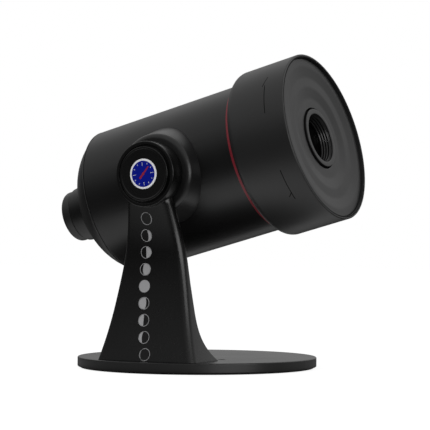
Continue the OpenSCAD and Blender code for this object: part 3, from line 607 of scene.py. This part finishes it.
def fine_dust():
    """Sparse pale specks of dust: Mask is 1 in small cells picked at random."""
    group, given, result = new_group("fine dust", [("Amount", 0.5)], [("Mask", "Float")])
    cells = node(group, "ShaderNodeTexVoronoi", {"Vector": object_place(group), "Scale": 900.0})
    picked = node(group, "ShaderNodeSeparateColor", {0: cells.outputs["Color"]})
    near = math_node(group, "LESS_THAN", cells.outputs["Distance"], 0.16)
    rare = math_node(group, "GREATER_THAN", picked.outputs[0], 0.985)
    both = math_node(group, "MULTIPLY", near, rare)
    group.links.new(math_node(group, "MULTIPLY", both, given.outputs["Amount"]), result.inputs["Mask"])
    return group


GRAIN, RUB, DUST = moulded_grain(), edge_rub(), fine_dust()


TONE_SWING = 0.12  # how far the colour varies, as a share of it
GLOSS_SWING = 0.06  # how far the roughness varies
DUST_COLOUR = (0.35, 0.35, 0.34, 1)


def finish_material(name, colour, rough, metallic=0.0, grain=0.0004, wave=0.02, depth=0.00002,
                    rub=0.35, rub_colour=None, dust=0.06, specular=0.5):
    """A worn, moulded or machined finish. The colour and the roughness vary with the grain, edges are
    rubbed lighter and smoother, and a few specks of dust lie on it. Lengths are in metres."""
    made = bpy.data.materials.new(name)
    made.use_nodes = True
    tree = made.node_tree
    shader = tree.nodes["Principled BSDF"]
    shader.inputs["Metallic"].default_value = metallic
    shader.inputs["Specular IOR Level"].default_value = specular
    grains = node(tree, "ShaderNodeGroup", node_tree=GRAIN)
    grains.inputs["Grain size"].default_value = grain
    grains.inputs["Wave size"].default_value = wave
    rubbed = node(tree, "ShaderNodeGroup", node_tree=RUB)
    rubbed.inputs["Amount"].default_value = rub
    dusty = node(tree, "ShaderNodeGroup", node_tree=DUST)
    dusty.inputs["Amount"].default_value = dust
    base = np.array(colour)
    light = np.array(rub_colour) if rub_colour is not None else base * 2.2 + 0.02
    share = math_node(tree, "MULTIPLY_ADD", grains.outputs["Tone"], 0.5, 0.5, clamp=True)
    toned = node(tree, "ShaderNodeMix", {
        "Factor": share, 6: (*(base * (1 - TONE_SWING)), 1), 7: (*(base * (1 + TONE_SWING)), 1)},
        data_type="RGBA")
    worn = node(tree, "ShaderNodeMix", {
        "Factor": rubbed.outputs["Mask"], 6: toned.outputs[2], 7: (*light, 1)}, data_type="RGBA")
    specked = node(tree, "ShaderNodeMix", {
        "Factor": dusty.outputs["Mask"], 6: worn.outputs[2], 7: DUST_COLOUR}, data_type="RGBA")
    tree.links.new(specked.outputs[2], shader.inputs["Base Color"])
    varied = math_node(tree, "MULTIPLY_ADD", grains.outputs["Gloss"], GLOSS_SWING, rough)
    smoothed = math_node(tree, "MULTIPLY_ADD", rubbed.outputs["Mask"], -0.3 * rough, varied, clamp=True)
    tree.links.new(smoothed, shader.inputs["Roughness"])
    bump = node(tree, "ShaderNodeBump", {
        "Strength": 0.6, "Distance": depth, "Height": grains.outputs["Height"],
        "Normal": rubbed.outputs["Normal"]})
    tree.links.new(bump.outputs[0], shader.inputs["Normal"])
    return made


def clear_material(name, colour):
    """Clear glass with a faint tint and a trace of smear in its roughness."""
    made = bpy.data.materials.new(name)
    made.use_nodes = True
    tree = made.node_tree
    shader = tree.nodes["Principled BSDF"]
    shader.inputs["Base Color"].default_value = (*colour, 1)
    shader.inputs["Transmission Weight"].default_value = 1.0
    smear = node(tree, "ShaderNodeTexNoise", {"Vector": object_place(tree), "Scale": 90.0, "Detail": 3.0})
    level = math_node(tree, "MULTIPLY", smear.outputs["Fac"], 0.03, clamp=True)
    tree.links.new(level, shader.inputs["Roughness"])
    return made


def star_material():
    """The star disc: a near black film with clear stars, which are small cells of three sizes."""
    made = finish_material("star film", (0.004, 0.006, 0.02), 0.12, depth=0.000002, rub=0.0, dust=0.0)
    tree = made.node_tree
    shader = tree.nodes["Principled BSDF"]
    place = object_place(tree)
    stars = None
    for scale, size in ((700.0, 0.10), (350.0, 0.08), (180.0, 0.06)):
        cells = node(tree, "ShaderNodeTexVoronoi", {"Vector": place, "Scale": scale})
        point = math_node(tree, "LESS_THAN", cells.outputs["Distance"], size)
        stars = point if stars is None else math_node(tree, "MAXIMUM", stars, point)
    was = shader.inputs["Base Color"].links[0].from_socket
    shown = node(tree, "ShaderNodeMix", {"Factor": stars, 6: was, 7: (0.8, 0.85, 0.9, 1)}, data_type="RGBA")
    tree.links.new(shown.outputs[2], shader.inputs["Base Color"])
    return made


def base_material():
    """The base's plastic: its top is polished, and its turned edge is duller."""
    made = finish_material("base black", (0.0025, 0.0025, 0.0025), 0.24, depth=0.000006, wave=0.03, rub=0.2)
    tree = made.node_tree
    shader = tree.nodes["Principled BSDF"]
    facing = node(tree, "ShaderNodeSeparateXYZ", {0: node(tree, "ShaderNodeTexCoord").outputs["Normal"]})
    was = shader.inputs["Roughness"].links[0].from_socket
    duller = node(tree, "ShaderNodeMapRange", {
        "Value": facing.outputs["Z"], "From Min": 0.3, "From Max": 0.9, "To Min": 0.1, "To Max": 0.0})
    tree.links.new(math_node(tree, "ADD", was, duller.outputs[0], clamp=True), shader.inputs["Roughness"])
    return made


barrel_black = finish_material("barrel black satin", (0.003, 0.003, 0.0031), 0.36, depth=0.00001)
# the boss's black is lighter than the barrel's: painted light for the reflected light in its shaded parts
# between cap and boss
boss_black_painted_fill = finish_material("boss black satin, painted fill light", (0.008, 0.008, 0.0081), 0.33, depth=0.000006)
drum_black = finish_material("drum black matt", (0.012, 0.012, 0.0121), 0.4, grain=0.0003, depth=0.00002)
face_black = finish_material("face black silk", (0.008, 0.008, 0.0082), 0.37, grain=0.0003, depth=0.00001)
arm_black = finish_material("arm black silk", (0.0018, 0.0018, 0.0018), 0.27, depth=0.00001)
base_black = base_material()
tube_black = finish_material("lens tube black", (0.006, 0.006, 0.0061), 0.3, rub=0.5, depth=0.000005)
trim_red = finish_material("trim red", (0.205, 0.013, 0.023), 0.4, rub=0.3, depth=0.000005)
pad_black = finish_material("pad rubber", (0.012, 0.012, 0.012), 0.85, grain=0.0006, depth=0.00008, rub=0.2)
ink_grey = finish_material("print grey", (0.30, 0.30, 0.305), 0.45, rub=0.0, depth=0.000004)
ink_white = finish_material("print white", (0.84, 0.84, 0.86), 0.4, rub=0.0, depth=0.000002, dust=0.0)
ink_blue = finish_material("print blue", (0.001, 0.007, 0.235), 0.45, specular=0.2, rub=0.0,
                           depth=0.000002, dust=0.0)
ink_red = finish_material("print red", (0.30, 0.01, 0.035), 0.45, rub=0.0, depth=0.000002, dust=0.0)
# a black lighter than the barrel's, for the cover's bead: a painted highlight on its edge
painted_highlight_black = finish_material("polished black, painted highlight", (0.024, 0.024, 0.024), 0.3, rub=0.2, depth=0.000004)
# a near black for the engraved focus arrows, and for the painted shade of the ring inside the front rim
dark_marks_and_painted_shade = finish_material("dark engraving and painted shade", (0.002, 0.002, 0.002), 0.6, specular=0.1, rub=0.0, dust=0.0)
steel = finish_material("steel", (0.56, 0.57, 0.58), 0.3, metallic=1.0, grain=0.0006, rub=0.4,
                        rub_colour=(0.75, 0.75, 0.76), depth=0.000006)
brass = finish_material("brass", (0.72, 0.52, 0.22), 0.32, metallic=1.0, rub=0.4,
                        rub_colour=(0.85, 0.68, 0.4), depth=0.000006)
nylon = finish_material("nylon", (0.75, 0.73, 0.66), 0.45, rub=0.2, rub_colour=(0.85, 0.84, 0.8))
aluminium = finish_material("aluminium", (0.72, 0.73, 0.74), 0.38, metallic=1.0, grain=0.0005,
                            rub_colour=(0.85, 0.85, 0.86), depth=0.00001)
board_green = finish_material("board green", (0.01, 0.10, 0.04), 0.35, rub=0.3, rub_colour=(0.25, 0.3, 0.15))
lamp_yellow = finish_material("lamp yellow", (0.85, 0.62, 0.12), 0.25, rub=0.0)
lens_glass = clear_material("lens glass", (0.94, 0.97, 0.98))
star_film = star_material()

WEARS = {
    arm: arm_black, cap: arm_black, badge: ink_white, ground: ink_blue, lines: ink_white,
    pointer: ink_red, phases: ink_grey, drum: drum_black, face: face_black, tube: tube_black,
    glass: lens_glass, arrows: dark_marks_and_painted_shade, rim_shade_ring: dark_marks_and_painted_shade, band: trim_red, bead: painted_highlight_black,
    knob: drum_black,
}
for piece, material in WEARS.items():
    piece.data.materials.clear()
    piece.data.materials.append(material)

# the CAD nodes that show; the others are replaced by the pieces above
BY_NODE = {
    barrel_black: ["barrel_shell", "rear_cover", "knob_collar"],
    boss_black_painted_fill: ["pivot_boss"],
    tube_black: ["helicoid_nut", "lens_retainer", "rear_lens_ring", "drum_retainer", "front_frame",
                 "disc_frame", "condenser_holder", "disc_clip", "rotary_switch", "power_jack"],
    base_black: ["base_plate"],
    pad_black: ["base_pad"],
    steel: ["base_weight", "arm_screws", "boss_screws", "pivot_shaft", "spring_washer", "pivot_nut",
            "retainer_screws", "board_screws", "jack_pin", "gear_motor", "guide_rods", "motor_shaft",
            "knob_shaft"],
    brass: ["friction_washer", "chassis_posts", "drive_pinion"],
    nylon: ["arm_bush", "thrust_washer", "disc_gear", "led_board"],
    aluminium: ["heat_sink"],
    board_green: ["control_board"],
    lamp_yellow: ["led_emitter"],
    lens_glass: ["condenser_lens", "rear_lens"],
    star_film: ["star_disc"],
}
for material, names in BY_NODE.items():
    for name in names:
        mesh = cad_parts[name].data
        mesh.materials.clear()
        mesh.materials.append(material)


# ------------------------------------------------------------------ floor, backdrop, lights and camera
FLOOR_TOP, FLOOR_BOTTOM, FLOOR_HALF = -0.3, -10.0, 4000.0
floor = make_piece("floor", *joined((
    np.array([(x, y, z) for z in (FLOOR_TOP, FLOOR_BOTTOM) for x in (-FLOOR_HALF, FLOOR_HALF)
              for y in (-FLOOR_HALF, FLOOR_HALF)], float),
    [np.array([(0, 2, 3, 1), (4, 5, 7, 6), (0, 1, 5, 4), (2, 6, 7, 3), (0, 4, 6, 2), (1, 3, 7, 5)])])))
floor_white = bpy.data.materials.new("floor white")
floor_white.use_nodes = True
tree = floor_white.node_tree
tree.nodes.clear()


def eased(tree, value, low, high, bottom, top):
    """The output of a Map Range that eases from bottom at low to top at high."""
    return node(tree, "ShaderNodeMapRange", {
        "Value": value, "From Min": low, "From Max": high, "To Min": bottom, "To Max": top},
        interpolation_type="SMOOTHSTEP").outputs[0]


def straight_ray(tree):
    """1 for rays that come straight from the camera or through glass."""
    seen = node(tree, "ShaderNodeLightPath").outputs
    return math_node(tree, "MAXIMUM", seen["Is Camera Ray"], seen["Is Transmission Ray"])


# the floor is plain white to the camera; other rays see a sheet that glows near the stand as painted light;
# it is dimmer at the base's foot, as painted contact shade, and where a ray leaves it at a low angle, and is
# dark further off
SHEET_MIDDLE = (0, -0.06, 0)  # metres, as are the next two lines but for the strength
SHEET_NEAR, SHEET_FAR, SHEET_GLOW = 0.05, 0.28, 0.88
FOOT_NEAR, FOOT_FAR = 0.076, 0.092
straight = straight_ray(tree)
glossy = node(tree, "ShaderNodeLightPath").outputs["Is Glossy Ray"]
place = object_place(tree)
away = node(tree, "ShaderNodeVectorMath", {0: place, 1: SHEET_MIDDLE}, operation="DISTANCE").outputs["Value"]
foot = node(tree, "ShaderNodeVectorMath", {0: place}, operation="LENGTH").outputs["Value"]
leaving = node(tree, "ShaderNodeNewGeometry").outputs["Incoming"]
steep = node(tree, "ShaderNodeSeparateXYZ", {0: leaving}).outputs["Z"]
near = eased(tree, away, SHEET_NEAR, SHEET_FAR, SHEET_GLOW, 0.0)
# painted contact shade: the glow falls to 0.05 at the base's foot
painted_foot_shade = eased(tree, foot, FOOT_NEAR, FOOT_FAR, 0.05, 1.0)
upward = eased(tree, steep, 0.03, 0.3, 0.15, 1.0)
lit = math_node(tree, "MULTIPLY", math_node(tree, "MULTIPLY", near, painted_foot_shade), upward)
sheet = math_node(tree, "MULTIPLY_ADD", glossy, 0.03, lit)
glow = node(tree, "ShaderNodeMix", {"Factor": straight, 2: sheet, 3: 0.9}, data_type="FLOAT").outputs[0]
pale = node(tree, "ShaderNodeMix", {"Factor": straight, 2: 0.03, 3: 0.2}, data_type="FLOAT").outputs[0]
own = node(tree, "ShaderNodeEmission", {"Color": (1, 1, 1, 1), "Strength": glow})
lit_part = node(tree, "ShaderNodeBsdfDiffuse", {"Color": pale})
both = node(tree, "ShaderNodeAddShader", {0: own.outputs[0], 1: lit_part.outputs[0]})
node(tree, "ShaderNodeOutputMaterial", {"Surface": both.outputs[0]})
floor.data.materials.append(floor_white)

# the backdrop is plain white to the camera; other rays see a soft box overhead, a grey wall behind
# that brightens to the right, and a dark room in front
ROOM_LEVEL, OVERHEAD_LEVEL, WALL_LEVEL, WALL_SWING = 0.08, 0.5, 0.28, 0.15
world = bpy.data.worlds.new("studio")
bpy.context.scene.world = world
world.use_nodes = True
tree = world.node_tree
tree.nodes.clear()
straight = straight_ray(tree)
way = node(tree, "ShaderNodeSeparateXYZ", {0: node(tree, "ShaderNodeTexCoord").outputs["Generated"]}).outputs
overhead = eased(tree, way["Z"], 0.10, 0.64, 0.0, OVERHEAD_LEVEL)
wall = math_node(tree, "MULTIPLY_ADD", way["X"], WALL_SWING, WALL_LEVEL)
behind = math_node(tree, "MULTIPLY", eased(tree, way["Y"], 0.05, 0.9, 0.0, 1.0), wall)
behind = math_node(tree, "MULTIPLY", behind, eased(tree, way["Z"], -0.12, 0.08, 0.5, 1.1))
room = math_node(tree, "ADD", math_node(tree, "ADD", overhead, behind), ROOM_LEVEL)
level = node(tree, "ShaderNodeMix", {"Factor": straight, 2: room, 3: 1.0}, data_type="FLOAT")
sky = node(tree, "ShaderNodeBackground", {"Color": (1, 1, 1, 1), "Strength": level.outputs[0]})
node(tree, "ShaderNodeOutputWorld", {"Surface": sky.outputs[0]})


AIM_Z = 0.11  # height, in metres, that the lamps face


def soft_lamp(name, where, size, power, glossy=True):
    """A rectangular area lamp at a point, in metres, that faces the barrel."""
    data = bpy.data.lights.new(name, "AREA")
    data.shape = "RECTANGLE"
    data.size, data.size_y = size
    data.energy = power
    lamp = bpy.data.objects.new(name, data)
    bpy.context.scene.collection.objects.link(lamp)
    lamp.visible_glossy = glossy
    back = np.array(where) - np.array([0, 0, AIM_Z])
    back /= np.linalg.norm(back)
    right = np.cross([0, 0, 1.0], back)
    right /= np.linalg.norm(right)
    turn = np.stack([right, np.cross(back, right), back], 1)
    lamp.matrix_world = Matrix([[*turn[i], where[i]] for i in range(3)] + [[0, 0, 0, 1]])


soft_lamp("key", (-0.5, -1.5, 1.2), (1.0, 1.0), 12, glossy=False)
soft_lamp("side", (1.5, -0.8, 0.35), (1.4, 0.8), 10)

camera = bpy.data.objects.new("camera", bpy.data.cameras.new("camera"))
bpy.context.scene.collection.objects.link(camera)
bpy.context.scene.camera = camera
PHOTO_PX = 430       # the frame is square
FOCAL_PX = 1932.744  # focal length in the photograph's pixels
SENSOR_MM = 36.0
CAMERA_AT = (0.58269, -1.0679, 0.07957)  # metres
CAMERA_UP, CAMERA_ROLL, CAMERA_ROUND = 90.7395, -0.289, 28.0901  # degrees about X, Y and Z
camera.data.sensor_width = SENSOR_MM
camera.data.lens = SENSOR_MM * FOCAL_PX / PHOTO_PX
camera.data.shift_x = -0.5 / PHOTO_PX
camera.data.shift_y = 0.5 / PHOTO_PX
camera.data.clip_start, camera.data.clip_end = 0.05, 20
camera_turn = Euler([math.radians(a) for a in (CAMERA_UP, CAMERA_ROLL, CAMERA_ROUND)], "XYZ")
camera.matrix_world = Matrix.LocRotScale(CAMERA_AT, camera_turn, None)
bpy.context.scene.view_settings.view_transform = "Standard"
